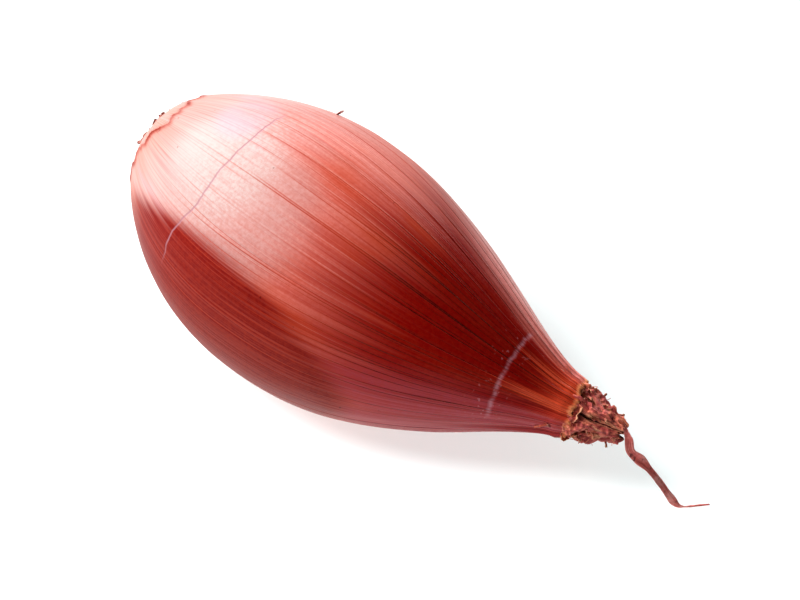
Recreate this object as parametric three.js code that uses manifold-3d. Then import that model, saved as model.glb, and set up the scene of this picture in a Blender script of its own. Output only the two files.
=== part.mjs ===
// A whole banana shallot lying on its side, root end towards -X and neck towards +X.
// Millimetres, +Z up. The origin is the middle of the small flat spot that it rests on.
// Every piece is first made straight: Y is the distance along the centreline from the root rim,
// X points to the right of the neck's direction and Z points up. It is then bent onto the centreline.

import * as THREE from 'three';
import { mergeVertices } from 'three/addons/utils/BufferGeometryUtils.js';
import Module from 'manifold-3d';

const wasm = await Module();
wasm.setup();

// Bulb
const BULB_LENGTH = 79;
const BELLY_RADIUS = 21;
const BELLY_STATION = 31;
const ROOT_RIM_RADIUS = 7.9;
const NECK_RIM_RADIUS = 4.9;
const SHOULDER_POWER = 0.88;
const TAPER_START_POWER = 2.2;
const TAPER_END_POWER = 1.47;
const LOBE_DEPTH = 0.45;
const LOBE_COUNT = 3;
const BULB_SIDES = 60;
const SHOULDER_STEPS = 14;
const TAPER_STEPS = 26;

// Hollows at the bulb's two ends, which seat the root plate and the dried neck
const ROOT_HOLLOW_DEPTH = 2.6;
const ROOT_HOLLOW_RADIUS = 7;
const NECK_HOLLOW_DEPTH = 3;
const NECK_HOLLOW_RADIUS = 4.35;
const SEAT_GAP = 0.35;

// Centreline and pose
const CENTRELINE_LENGTH = 88;
const CENTRELINE_TURN = THREE.MathUtils.degToRad(21);
const REST_STATION = 38;
const FLAT_SPOT_DEPTH = 0.4;

// Root plate and its dried root stubs
const PLATE_RADIUS = ROOT_HOLLOW_RADIUS - SEAT_GAP;
const PLATE_EDGE_STATION = 0.7;
const PLATE_CROWN = 0.6;
const PLATE_SIDES = 40;
const STUB_SIDES = 7;
const STUB_SINK = 0.7;
const STUB_TAPER = 0.6;
const STUB_UNEVEN_STEP = 2.4;
const STUB_LENGTH_SPREAD = 0.3;
const STUB_LEAN_SPREAD = 0.2;
const STUB_TURN_SPREAD = 0.12;
const OUTER_STUBS = { count: 13, ring: 5.2, lean: 0.5, length: 1.9, radius: 0.62 };
const INNER_STUBS = { count: 6, ring: 2.6, lean: 0.3, length: 1.4, radius: 0.55 };

// Dried neck
const NECK_REACH = 9;
const NECK_BASE_RADIUS = 3.95;
const NECK_TIP_RADIUS = 1.7;
const NECK_SIDES = 40;
const NECK_STEPS = 16;
const NECK_TAPER_POWER = 1.5;
const NECK_TIP_BULGE = 0.4;
const BROAD_FOLDS = 6;
const FINE_FOLDS = 9;
const FINE_FOLD_SHARE = 0.5;
const FOLD_DEPTH = 0.13;
const FOLD_TWIST = 0.11;
const FOLD_ONSET = 2;

// Dry leaf strand, a flat ribbon that falls from the neck's tip to the surface and ends lying on it.
// The drops are measured from the middle of the neck's tip.
const STRAND_WIDTH = 1.3;
const STRAND_THICKNESS = 0.42;
const STRAND_EDGE_SHARE = 0.6;
const STRAND_TIP_SCALE = 0.4;
const STRAND_TWIST = 2.2;
const STRAND_STEPS = 28;
const STRAND_ACROSS = new THREE.Vector3(-0.6, 0.8, 0);
const STRAND_DROPS = [
  [0.75, 0.1, -1.0],
  [1.5, 0.1, -3.2],
  [2.7, 0.8, -4.8],
  [4.1, 1.3, -6.4],
  [5.9, 2.1, -9.2],
  [7.2, 2.9, -11.9],
];
const STRAND_LANDING = [8.3, 3.8];
const STRAND_LANDING_HEIGHT = 0.65;
const STRAND_END = [11.6, 7.1];
const STRAND_END_HEIGHT = 0.3;

const SHALLOT_SKIN = { color: 0xa8453a, roughness: 0.42, metalness: 0 };
const CORKY_ROOT = { color: 0x8a6148, roughness: 0.9, metalness: 0 };
const DRIED_LEAF = { color: 0x8f4f42, roughness: 0.75, metalness: 0 };
const DRIED_STRAND = { color: 0x8e4a44, roughness: 0.7, metalness: 0 };

function skinRadius(station) {
  if (station < BELLY_STATION) {
    const inward = 1 - Math.max(station, 0) / BELLY_STATION;
    return ROOT_RIM_RADIUS + (BELLY_RADIUS - ROOT_RIM_RADIUS) * (1 - inward ** 2) ** SHOULDER_POWER;
  }
  const along = Math.min((station - BELLY_STATION) / (BULB_LENGTH - BELLY_STATION), 1);
  const taper = (1 - along ** TAPER_START_POWER) ** TAPER_END_POWER;
  return NECK_RIM_RADIUS + (BELLY_RADIUS - NECK_RIM_RADIUS) * taper;
}

// The axis leans neck-down until the skin below the rest station is level.
const PITCH = Math.atan2(skinRadius(REST_STATION - 1) - skinRadius(REST_STATION + 1), 2);
const ARC_RADIUS = CENTRELINE_LENGTH / CENTRELINE_TURN;
const LEAN_AXIS = new THREE.Vector3(0, 1, 0);

function headingAt(station) {
  return (station / CENTRELINE_LENGTH - 0.5) * CENTRELINE_TURN;
}

function arcPoint(station) {
  const heading = headingAt(station);
  return new THREE.Vector3(Math.sin(heading), -Math.cos(heading), 0).multiplyScalar(ARC_RADIUS);
}

// Maps a straight piece's coordinates onto the bent, leaning centreline.
function bentPoint(point) {
  const heading = headingAt(point.y);
  const rightward = new THREE.Vector3(Math.sin(heading), -Math.cos(heading), 0);
  const onArc = arcPoint(point.y).sub(arcPoint(REST_STATION)).addScaledVector(rightward, point.x);
  onArc.z = point.z;
  return onArc.applyAxisAngle(LEAN_AXIS, PITCH);
}

function moveVertices(geometry, move) {
  const place = geometry.getAttribute('position');
  const point = new THREE.Vector3();
  for (let i = 0; i < place.count; i += 1) {
    const moved = move(point.fromBufferAttribute(place, i));
    place.setXYZ(i, moved.x, moved.y, moved.z);
  }
  return geometry;
}

function toSolid(geometry) {
  const bare = geometry.clone();
  bare.deleteAttribute('normal');
  bare.deleteAttribute('uv');
  const merged = mergeVertices(bare, 1e-4);
  return new wasm.Manifold(new wasm.Mesh({
    numProp: 3,
    vertProperties: new Float32Array(merged.getAttribute('position').array),
    triVerts: new Uint32Array(merged.getIndex().array),
  }));
}

function toGeometry(solid) {
  const mesh = solid.getMesh();
  const geometry = new THREE.BufferGeometry();
  geometry.setAttribute('position', new THREE.BufferAttribute(new Float32Array(mesh.vertProperties), 3));
  geometry.setIndex(new THREE.BufferAttribute(new Uint32Array(mesh.triVerts), 1));
  geometry.computeVertexNormals();
  return geometry;
}

// The outline runs from the root hollow's floor over the shoulder and down the taper
// to the floor of the neck hollow.
function bulbOutline() {
  const outline = [
    new THREE.Vector2(0, ROOT_HOLLOW_DEPTH),
    new THREE.Vector2(ROOT_HOLLOW_RADIUS, ROOT_HOLLOW_DEPTH),
    new THREE.Vector2(ROOT_HOLLOW_RADIUS, 0.1),
  ];
  for (let step = 0; step <= SHOULDER_STEPS; step += 1) {
    const station = BELLY_STATION * (1 - Math.cos((step / SHOULDER_STEPS) * Math.PI / 2));
    outline.push(new THREE.Vector2(skinRadius(station), station));
  }
  for (let step = 1; step <= TAPER_STEPS; step += 1) {
    const station = BELLY_STATION + (BULB_LENGTH - BELLY_STATION) * (step / TAPER_STEPS);
    outline.push(new THREE.Vector2(skinRadius(station), station));
  }
  outline.push(
    new THREE.Vector2(NECK_HOLLOW_RADIUS, BULB_LENGTH - 0.1),
    new THREE.Vector2(NECK_HOLLOW_RADIUS, BULB_LENGTH - NECK_HOLLOW_DEPTH),
    new THREE.Vector2(0, BULB_LENGTH - NECK_HOLLOW_DEPTH),
  );
  return outline;
}

// Three soft lobes keep the sections from being true circles. One points up, so the underside
// is a little flatter than the rest, and they fade towards both ends.
function addLobes(point) {
  const radius = Math.hypot(point.x, point.z);
  if (radius === 0) {
    return point;
  }
  const fromTop = Math.atan2(point.x, point.z);
  const swell = LOBE_DEPTH * Math.cos(LOBE_COUNT * fromTop) * (radius / BELLY_RADIUS) ** 2;
  const scale = (radius + swell) / radius;
  return point.set(point.x * scale, point.y, point.z * scale);
}

// The skin's lowest point comes to the origin, and then sinks by the depth of the flat spot.
const lowestSkin = addLobes(new THREE.Vector3(0, REST_STATION, -skinRadius(REST_STATION)));
const LOWEST_POINT = bentPoint(lowestSkin);

function placed(point) {
  const onCentreline = bentPoint(point).sub(LOWEST_POINT);
  onCentreline.z -= FLAT_SPOT_DEPTH;
  return onCentreline;
}

function makeBulb() {
  const bulb = new THREE.LatheGeometry(bulbOutline(), BULB_SIDES);
  moveVertices(bulb, addLobes);
  moveVertices(bulb, placed);
  const block = new THREE.BoxGeometry(BULB_LENGTH, BULB_LENGTH, BELLY_RADIUS);
  block.translate(0, 0, -BELLY_RADIUS / 2);
  return toGeometry(toSolid(bulb).subtract(toSolid(block)));
}

// A dried root cut short. Each leans away from the axis, a little differently from the next.
function makeStub(index, ring) {
  const uneven = Math.sin(index * STUB_UNEVEN_STEP);
  const length = ring.length * (1 + STUB_LENGTH_SPREAD * uneven);
  const lean = ring.lean * (1 + STUB_LEAN_SPREAD * uneven);
  const around = (index / ring.count) * 2 * Math.PI + STUB_TURN_SPREAD * uneven;
  const tipRadius = ring.radius * STUB_TAPER;
  const stub = new THREE.CylinderGeometry(tipRadius, ring.radius, length + STUB_SINK, STUB_SIDES, 1);
  stub.translate(0, (length - STUB_SINK) / 2, 0);
  stub.rotateZ(Math.PI - lean);
  stub.translate(-ring.ring, PLATE_EDGE_STATION - PLATE_CROWN / 2, 0);
  stub.rotateY(around);
  return stub;
}

function makeRootPlate() {
  const back = ROOT_HOLLOW_DEPTH - SEAT_GAP;
  const outline = [
    new THREE.Vector2(0, PLATE_EDGE_STATION - PLATE_CROWN),
    new THREE.Vector2(PLATE_RADIUS * 0.6, PLATE_EDGE_STATION - PLATE_CROWN * 0.85),
    new THREE.Vector2(PLATE_RADIUS * 0.9, PLATE_EDGE_STATION - PLATE_CROWN * 0.4),
    new THREE.Vector2(PLATE_RADIUS, PLATE_EDGE_STATION),
    new THREE.Vector2(PLATE_RADIUS, back),
    new THREE.Vector2(0, back),
  ];
  let plate = toSolid(new THREE.LatheGeometry(outline, PLATE_SIDES));
  for (const ring of [OUTER_STUBS, INNER_STUBS]) {
    for (let index = 0; index < ring.count; index += 1) {
      plate = plate.add(toSolid(makeStub(index, ring)));
    }
  }
  return moveVertices(toGeometry(plate), placed);
}

// The neck is a stub of shrunken leaf bases, folded lengthwise and wrung round as it dried.
function wringNeck(point) {
  const radius = Math.hypot(point.x, point.z);
  if (radius === 0) {
    return point;
  }
  const beyondRim = Math.max(point.y - BULB_LENGTH, 0);
  const angle = Math.atan2(point.z, point.x) + FOLD_TWIST * beyondRim;
  const fold = Math.cos(BROAD_FOLDS * angle) + FINE_FOLD_SHARE * Math.cos(FINE_FOLDS * angle + 1);
  const scale = 1 + FOLD_DEPTH * fold * Math.min(beyondRim / FOLD_ONSET, 1);
  return point.set(point.x * scale, point.y, point.z * scale);
}

function makeDriedNeck() {
  const start = BULB_LENGTH - NECK_HOLLOW_DEPTH + SEAT_GAP;
  const reach = NECK_REACH + BULB_LENGTH - start;
  const outline = [new THREE.Vector2(0, start)];
  for (let step = 0; step <= NECK_STEPS; step += 1) {
    const along = step / NECK_STEPS;
    const radius = NECK_BASE_RADIUS + (NECK_TIP_RADIUS - NECK_BASE_RADIUS) * along ** NECK_TAPER_POWER;
    outline.push(new THREE.Vector2(radius, start + reach * along));
  }
  outline.push(new THREE.Vector2(0, start + reach + NECK_TIP_BULGE));
  const neck = new THREE.LatheGeometry(outline, NECK_SIDES);
  moveVertices(neck, wringNeck);
  return moveVertices(neck, placed);
}

function strandPath() {
  const tip = placed(new THREE.Vector3(0, BULB_LENGTH + NECK_REACH, 0));
  const points = STRAND_DROPS.map((drop) => tip.clone().add(new THREE.Vector3(...drop)));
  points.push(
    new THREE.Vector3(tip.x + STRAND_LANDING[0], tip.y + STRAND_LANDING[1], STRAND_LANDING_HEIGHT),
    new THREE.Vector3(tip.x + STRAND_END[0], tip.y + STRAND_END[1], STRAND_END_HEIGHT),
  );
  return new THREE.CatmullRomCurve3(points, false, 'centripetal');
}

// Twists and narrows the straight ribbon as it is laid along its path.
function layStrand(ribbon, path) {
  const length = path.getLength();
  return moveVertices(ribbon, (point) => {
    const along = THREE.MathUtils.clamp(point.z / length, 0, 1);
    const tangent = path.getTangentAt(along);
    const across = STRAND_ACROSS.clone();
    across.addScaledVector(tangent, -across.dot(tangent)).normalize();
    across.applyAxisAngle(tangent, STRAND_TWIST * Math.sin(Math.PI * along) * (1 - along));
    const through = new THREE.Vector3().crossVectors(tangent, across);
    const narrowing = 1 - (1 - STRAND_TIP_SCALE) * along ** 2;
    return path.getPointAt(along)
      .addScaledVector(across, point.x * narrowing)
      .addScaledVector(through, point.y);
  });
}

function makeStrand() {
  const path = strandPath();
  const edge = STRAND_WIDTH / 2;
  const shoulder = edge * STRAND_EDGE_SHARE;
  const face = STRAND_THICKNESS / 2;
  const section = new THREE.Shape([
    new THREE.Vector2(edge, 0),
    new THREE.Vector2(shoulder, face),
    new THREE.Vector2(-shoulder, face),
    new THREE.Vector2(-edge, 0),
    new THREE.Vector2(-shoulder, -face),
    new THREE.Vector2(shoulder, -face),
  ]);
  const ribbon = new THREE.ExtrudeGeometry(section, {
    depth: path.getLength(),
    steps: STRAND_STEPS,
    bevelEnabled: false,
  });
  return layStrand(ribbon, path);
}

function addPiece(group, name, geometry, finish) {
  const piece = new THREE.Mesh(geometry, new THREE.MeshStandardMaterial(finish));
  piece.name = name;
  group.add(piece);
}

const shallot = new THREE.Group();
addPiece(shallot, 'bulb', makeBulb(), SHALLOT_SKIN);
addPiece(shallot, 'root_plate', makeRootPlate(), CORKY_ROOT);
addPiece(shallot, 'dried_neck', makeDriedNeck(), DRIED_LEAF);
addPiece(shallot, 'dry_leaf_strand', makeStrand(), DRIED_STRAND);

export default shallot;
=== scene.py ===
import math

import bpy
import numpy as np
from bpy.props import FloatProperty, FloatVectorProperty, IntProperty, PointerProperty
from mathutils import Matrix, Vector, noise


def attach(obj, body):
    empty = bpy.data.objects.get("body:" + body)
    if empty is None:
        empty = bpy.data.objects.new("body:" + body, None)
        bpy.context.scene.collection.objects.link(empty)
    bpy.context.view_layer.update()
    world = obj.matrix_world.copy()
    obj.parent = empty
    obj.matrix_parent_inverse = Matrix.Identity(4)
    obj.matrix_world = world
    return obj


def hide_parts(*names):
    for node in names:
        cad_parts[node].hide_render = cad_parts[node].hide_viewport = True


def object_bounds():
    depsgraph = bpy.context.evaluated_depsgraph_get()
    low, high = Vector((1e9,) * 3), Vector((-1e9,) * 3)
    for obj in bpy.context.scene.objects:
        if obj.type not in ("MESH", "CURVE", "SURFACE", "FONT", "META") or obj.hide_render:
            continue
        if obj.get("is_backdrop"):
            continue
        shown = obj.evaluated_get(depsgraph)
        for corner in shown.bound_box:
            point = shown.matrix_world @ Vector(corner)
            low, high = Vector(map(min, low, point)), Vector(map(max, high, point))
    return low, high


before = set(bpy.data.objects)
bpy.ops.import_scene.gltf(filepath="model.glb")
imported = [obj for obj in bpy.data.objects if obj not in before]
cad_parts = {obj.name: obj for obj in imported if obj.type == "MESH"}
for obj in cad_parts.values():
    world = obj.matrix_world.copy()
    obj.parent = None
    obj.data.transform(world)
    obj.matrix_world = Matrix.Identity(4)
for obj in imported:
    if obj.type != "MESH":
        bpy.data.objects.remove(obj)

bl_info = {
    "name": "Banana Shallot",
    "version": (1, 0, 0),
    "blender": (4, 5, 0),
    "location": "View3D > Sidebar > Shallot",
    "description": "Builds a whole banana shallot with its dry skin, root end, dried neck and leaf strand",
    "category": "Add Mesh",
}

CAD_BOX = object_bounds()
MM = 0.001
BAKE_MAP = "OFBake"


# ---------------------------------------------------------------- settings

def distance(name, description, default):
    return FloatProperty(
        name=name, description=description, default=default, unit="LENGTH", subtype="DISTANCE", precision=5
    )


def turn(name, description, degrees):
    return FloatProperty(
        name=name, description=description, default=math.radians(degrees), unit="ROTATION", subtype="ANGLE"
    )


def share(name, description, default):
    return FloatProperty(name=name, description=description, default=default, subtype="FACTOR")


def count(name, description, default):
    return IntProperty(name=name, description=description, default=default, min=1)


def colour(name, description, default):
    return FloatVectorProperty(
        name=name, description=description, default=default, subtype="COLOR", size=3, min=0.0, max=1.0
    )


def watts(name, description, default):
    return FloatProperty(name=name, description=description, default=default, unit="POWER")


class BulbSettings(bpy.types.PropertyGroup):
    """The driving sizes of the bulb and its centreline."""

    length: distance("Length", "From the root rim to the neck rim, along the centreline", 0.079)
    belly_radius: distance("Belly radius", "Radius of the fattest section", 0.021)
    belly_station: distance("Belly station", "Distance of the fattest section from the root rim", 0.031)
    root_radius: distance("Root rim radius", "Radius of the skin where it meets the root plate", 0.0079)
    neck_radius: distance("Neck rim radius", "Radius of the skin's torn rim at the neck", 0.0049)
    shoulder_power: share("Shoulder power", "How full the shoulder is at the root end", 0.88)
    taper_start: share("Taper start power", "How late the neck side begins to taper", 2.2)
    taper_end: share("Taper end power", "How gently the taper runs out at the neck", 1.47)
    lobe_depth: distance("Lobe depth", "Swelling of each soft lobe", 0.00045)
    lobes: count("Lobes", "Number of soft lobes round the bulb", 3)
    centreline: distance("Centreline length", "From the root rim to the tip of the dried neck", 0.088)
    bend: turn("Bend", "How far the centreline turns from root to neck", 21)
    rest_station: distance("Rest station", "Where the skin's underside is level", 0.038)
    flat_depth: distance("Flat spot depth", "How far the resting spot is pressed flat", 0.0004)


class SkinSettings(bpy.types.PropertyGroup):
    """Relief and colours of the dry skin."""

    vein_pairs: count("Vein pairs", "Half the number of lengthwise veins", 19)
    vein_height: distance("Vein height", "How far a strong vein stands out", 0.00005)
    pleat_height: distance("Pleat height", "Depth of the lengthwise pleats at the neck", 0.00034)
    dent_depth: distance("Dent depth", "Depth of the soft unevenness", 0.00016)
    peels: count("Peels", "Slivers of skin that peel away near the neck", 11)
    layer_step: distance("Layer step", "Height of the torn outer skin over the inner one", 0.0002)
    root_colour: colour("Root side", "Pale salmon skin near the root", (0.49, 0.32, 0.305))
    # Painted highlight: the whitish colour of the sheen on top of the root half
    highlight_colour: colour("Bloom", "Whitish skin on top of the root half", (0.48, 0.42, 0.405))
    shoulder_colour: colour("Shoulder", "Salmon pink skin at the root rim", (0.5, 0.19, 0.14))
    belly_colour: colour("Belly", "Copper red skin", (0.58, 0.165, 0.13))
    deep_colour: colour("Neck side", "Deep red skin before the neck", (0.27, 0.002, 0.0004))
    neck_colour: colour("Neck", "Orange red skin at the neck", (0.68, 0.12, 0.055))
    light_colour: colour("Light streaks", "Papery light streaks", (0.7, 0.42, 0.38))
    # Painted shade: darker red low on the near flank, as if a neighbouring shallot shaded it, partly the
    # skin's own darker red
    flank_shade_colour: colour("Flank", "Darker brick red skin low on the near side", (0.2, 0.004, 0.0015))
    # Paler pink on the far side by the neck: worn-off colour and painted sheen
    faded_and_sheen_colour: colour("Faded skin", "Pinkish skin where the colour has worn off", (0.78, 0.3, 0.27))
    # Painted reflection of the pale floor, low on the near side by the neck
    mauve_reflection_colour: colour("Mauve", "Mauve skin low on the near side of the neck", (0.41, 0.075, 0.098))
    amber_colour: colour("Amber", "Orange brown blotches", (0.5, 0.075, 0.02))
    thread_colour: colour("Threads", "Brick red threads near the root", (0.4, 0.045, 0.014))
    vein_colour: colour("Veins", "Dark veins", (0.06, 0.001, 0.0005))
    worn_colour: colour("Worn skin", "Lilac white where the skin is rubbed thin", (0.6, 0.36, 0.42))
    crease_colour: colour("Creases", "Lilac grey folds across the skin", (0.36, 0.19, 0.22))
    inner_colour: colour("Inner skin", "Pink inner skin under the torn edge", (0.5, 0.22, 0.17))
    rim_colour: colour("Neck rim", "Cream orange rim of the skin at the neck", (0.86, 0.38, 0.19))
    torn_colour: colour("Torn edge", "Orange brown edge of torn dry skin", (0.24, 0.018, 0.004))


class RootSettings(bpy.types.PropertyGroup):
    """Sizes and colours of the root plate and its root stubs."""

    plate_radius: distance("Plate radius", "Radius of the corky plate", 0.0068)
    plate_station: distance("Plate station", "Where the plate's edge meets the skin", 0.0007)
    plate_crown: distance("Plate crown", "How far the plate bulges out", 0.0006)
    stub_length: distance("Stub length", "Length of the longer root stubs", 0.0014)
    stub_radius: distance("Stub radius", "Radius of a root stub at its base", 0.00036)
    outer_stubs: count("Outer stubs", "Stubs in the outer ring", 34)
    middle_stubs: count("Middle stubs", "Stubs in the middle ring", 26)
    inner_stubs: count("Inner stubs", "Stubs in the inner ring", 14)
    rootlets: count("Rootlets", "Thread-like roots in each ring", 40)
    cork_colour: colour("Cork", "Brown cork", (0.26, 0.11, 0.06))
    stub_colour: colour("Stubs", "Dried roots", (0.3, 0.13, 0.075))
    dark_colour: colour("Old roots", "Dark rotted roots", (0.1, 0.035, 0.02))
    crumb_colour: colour("Crumbs", "Pale dry crumbs", (0.48, 0.3, 0.2))


class NeckSettings(bpy.types.PropertyGroup):
    """Sizes and colours of the dried neck."""

    reach: distance("Reach", "How far the neck stands past the skin's rim", 0.009)
    base_radius: distance("Base radius", "Radius at the skin's rim", 0.0042)
    tip_radius: distance("Tip radius", "Radius at the tip", 0.0015)
    folds: count("Folds", "Broad folds round the wrung neck", 6)
    strips: count("Strips", "Papery leaf strips laid along the neck", 7)
    collars: count("Collars", "Wide torn leaves that line the skin's rim", 6)
    spikes: count("Spikes", "Torn points that stand out from the neck", 12)
    frays: count("Frays", "Fine fibres in each ring round the neck", 14)
    seed: count("Seed", "Seed of everything random on the neck", 7)
    leaf_colour: colour("Dry leaf", "Brown rose dry leaf", (0.44, 0.09, 0.085))
    ridge_colour: colour("Ridges", "Orange tips of the folds", (0.88, 0.34, 0.2))
    # Painted shade deep in the dry leaf's folds, and the colour of its dark fibre streaks
    shade_colour: colour("Folds", "Dark inside of the folds", (0.045, 0.004, 0.004))
    pale_colour: colour("Torn ends", "Pale torn ends", (0.78, 0.46, 0.28))


class StrandSettings(bpy.types.PropertyGroup):
    """Size and colour of the dry leaf strand."""

    width: distance("Width", "Width of the ribbon where it leaves the neck", 0.0016)
    thickness: distance("Thickness", "Thickness of the dry leaf", 0.00022)
    tip_share: share("Tip share", "The tip's width as a share of the full width", 0.3)
    twist: turn("Twist", "How far the ribbon turns to either side as it falls", 40)
    strand_colour: colour("Strand", "Brown rose dry leaf", (0.66, 0.15, 0.13))
    light_colour: colour("Strand light", "Paler streaks", (0.88, 0.42, 0.38))


class StageSettings(bpy.types.PropertyGroup):
    """Camera, light and floor."""

    azimuth: turn("Azimuth", "The camera's place round the shallot", 38)
    elevation: turn("Elevation", "The camera's height above the floor", 45)
    distance: distance("Distance", "From the camera to the shallot", 0.62)
    lens: FloatProperty(
        name="Lens", description="Focal length in millimetres", default=185.0, unit="CAMERA"
    )
    floor_colour: colour("Floor", "Pale floor", (0.81, 0.885, 0.885))
    key_power: watts("Key light", "Power of the large soft light", 22.0)
    rim_power: watts("Rim light", "Power of the light behind the shallot", 5.0)
    floor_power: watts("Floor light", "Power of the shadowless light on the floor", 10.4)
    shadow_power: watts("Shadow light", "Power of the light that casts the floor's soft shadow", 8.5)
    ambient: share("Ambient", "Strength of the surrounding light", 0.07)


class ShallotSettings(bpy.types.PropertyGroup):
    """Everything a user would change."""

    bulb: PointerProperty(type=BulbSettings)
    skin: PointerProperty(type=SkinSettings)
    root: PointerProperty(type=RootSettings)
    neck: PointerProperty(type=NeckSettings)
    strand: PointerProperty(type=StrandSettings)
    stage: PointerProperty(type=StageSettings)


# ---------------------------------------------------------------- form

def smooth_step(low, high, value):
    along = np.clip((value - low) / (high - low), 0.0, 1.0)
    return along * along * (3.0 - 2.0 * along)


def hill(value, middle, width):
    """1 at the middle, falling smoothly to 0 on both sides."""
    return np.exp(-(((value - middle) / width) ** 2))


class BulbForm:
    """The bulb's outline, turned round a bent centreline that leans neck-down.

    A straight point is (right of the neck's direction, along the centreline, up)."""

    def __init__(self, bulb):
        self.bulb = bulb
        self.arc_radius = bulb.centreline / bulb.bend
        step = MM
        fall = self.skin_radius(bulb.rest_station - step) - self.skin_radius(bulb.rest_station + step)
        self.lean = math.atan2(float(fall), 2 * step)
        self.lowest = np.zeros(3)
        self.lowest = self.skin(math.pi, bulb.rest_station) + np.array((0, 0, bulb.flat_depth))

    def skin_radius(self, station):
        bulb = self.bulb
        station = np.asarray(station, float)
        inward = 1.0 - np.clip(station / bulb.belly_station, 0.0, 1.0)
        shoulder = (1.0 - inward**2) ** bulb.shoulder_power
        along = np.clip((station - bulb.belly_station) / (bulb.length - bulb.belly_station), 0.0, 1.0)
        taper = (1.0 - along**bulb.taper_start) ** bulb.taper_end
        root_side = bulb.root_radius + (bulb.belly_radius - bulb.root_radius) * shoulder
        neck_side = bulb.neck_radius + (bulb.belly_radius - bulb.neck_radius) * taper
        return np.where(station < bulb.belly_station, root_side, neck_side)

    def place(self, straight):
        """Carries straight points onto the centreline, with the flat spot at the origin."""
        bulb = self.bulb
        right, along, up = np.moveaxis(np.asarray(straight, float), -1, 0)
        heading = (along / bulb.centreline - 0.5) * bulb.bend
        rest = (bulb.rest_station / bulb.centreline - 0.5) * bulb.bend
        x = self.arc_radius * (np.sin(heading) - math.sin(rest)) + right * np.sin(heading)
        y = self.arc_radius * (math.cos(rest) - np.cos(heading)) - right * np.cos(heading)
        cos_lean = math.cos(self.lean)
        sin_lean = math.sin(self.lean)
        placed = np.stack((x * cos_lean + up * sin_lean, y, up * cos_lean - x * sin_lean), -1)
        return placed - self.lowest

    def round(self, angle, station, radius):
        """Points at that angle from the top, station and radius."""
        angle, station, radius = np.broadcast_arrays(angle, station, radius)
        return self.place(np.stack((radius * np.sin(angle), station, radius * np.cos(angle)), -1))

    def lobed_radius(self, angle, station):
        bulb = self.bulb
        radius = self.skin_radius(station)
        fullness = (radius / bulb.belly_radius) ** 2
        return radius + bulb.lobe_depth * np.cos(bulb.lobes * np.asarray(angle)) * fullness

    def skin(self, angle, station):
        return self.round(angle, station, self.lobed_radius(angle, station))


def angles_round(columns):
    return np.arange(columns) * (2 * math.pi / columns)


NOISE_FADE = 0.8
NOISE_STEP = 2.1


def fractal(x, y, z, octaves=3):
    """Smooth noise between about -1 and 1 at each point of three arrays."""
    x, y, z = np.broadcast_arrays(x, y, z)
    values = [
        noise.fractal(Vector(point), NOISE_FADE, NOISE_STEP, octaves, noise_basis="PERLIN_ORIGINAL")
        for point in zip(x.ravel(), y.ravel(), z.ravel())
    ]
    return np.array(values).reshape(x.shape)


# ---------------------------------------------------------------- mesh help

def grid_normals(points):
    """The direction out of a grid whose rows close on themselves, at each of its points."""
    across = np.roll(points, -1, 1) - np.roll(points, 1, 1)
    normals = np.cross(across, np.gradient(points, axis=0))
    return normals / np.linalg.norm(normals, axis=-1, keepdims=True)


def grid_faces(rows, columns, wrapped):
    """The quads between rows of points, and the flat map of their corners."""
    spans = columns if wrapped else columns - 1
    faces = []
    uvs = []
    for row in range(rows - 1):
        low, high = row / (rows - 1), (row + 1) / (rows - 1)
        for column in range(spans):
            beside = (column + 1) % columns
            faces.append((
                row * columns + column, row * columns + beside,
                (row + 1) * columns + beside, (row + 1) * columns + column,
            ))
            left, right = column / spans, (column + 1) / spans
            uvs.extend((left, low, right, low, right, high, left, high))
    return faces, uvs


def cap_faces(rows, columns):
    """Fans that close the first and last row, round two points added after the grid's own."""
    first = rows * columns
    last = first + 1
    last_row = (rows - 1) * columns
    faces = []
    uvs = []
    for column in range(columns):
        beside = (column + 1) % columns
        left, right = column / columns, (column + 1) / columns
        faces.append((first, beside, column))
        uvs.extend((left, 0.0, right, 0.0, left, 0.0))
        faces.append((last, last_row + column, last_row + beside))
        uvs.extend((left, 1.0, left, 1.0, right, 1.0))
    return faces, uvs


def grid_mesh(name, points, wrapped=True, values=None):
    """A mesh from rows of points. Wrapped rows close on themselves, with a cap on the first and last row.

    values maps attribute names to arrays with one number, or three, for each point."""
    rows, columns = points.shape[:2]
    faces, uvs = grid_faces(rows, columns, wrapped)

    def flattened(grid):
        flat = grid.reshape(rows * columns, -1)
        if not wrapped:
            return flat
        ends = [grid[row].reshape(columns, -1).mean(0) for row in (0, -1)]
        return np.concatenate((flat, ends))

    if wrapped:
        caps, cap_uvs = cap_faces(rows, columns)
        faces += caps
        uvs += cap_uvs
    mesh = bpy.data.meshes.new(name)
    mesh.from_pydata(flattened(points).tolist(), [], faces)
    mesh.uv_layers.new(name=BAKE_MAP).data.foreach_set("uv", uvs)
    for key, value in (values or {}).items():
        flat = flattened(value)
        kind, field = ("FLOAT_VECTOR", "vector") if flat.shape[1] == 3 else ("FLOAT", "value")
        mesh.attributes.new(key, kind, "POINT").data.foreach_set(field, flat.astype(np.float32).ravel())
    mesh.shade_smooth()
    return mesh


def make_object(name, mesh):
    piece = bpy.data.objects.new(name, mesh)
    bpy.context.scene.collection.objects.link(piece)
    return piece


def settle(piece):
    """Turns the piece's modifiers into plain mesh and removes them."""
    graph = bpy.context.evaluated_depsgraph_get()
    evaluated = piece.evaluated_get(graph)
    mesh = bpy.data.meshes.new_from_object(evaluated, preserve_all_data_layers=True, depsgraph=graph)
    piece.modifiers.clear()
    piece.data = mesh
    return piece


def joined(name, pieces):
    """One object from several, all at the origin."""
    first = pieces[0]
    chosen = {"selected_objects": pieces, "selected_editable_objects": pieces}
    if len(pieces) > 1:
        with bpy.context.temp_override(active_object=first, object=first, **chosen):
            bpy.ops.object.join()
    first.name = name
    return first


def dress(piece, material, slot, *nodes):
    piece.data.materials.clear()
    piece.data.materials.append(material)
    piece.data.shade_smooth()
    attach(piece, "root")
    if nodes:
        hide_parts(*nodes)


# ---------------------------------------------------------------- node help

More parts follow.
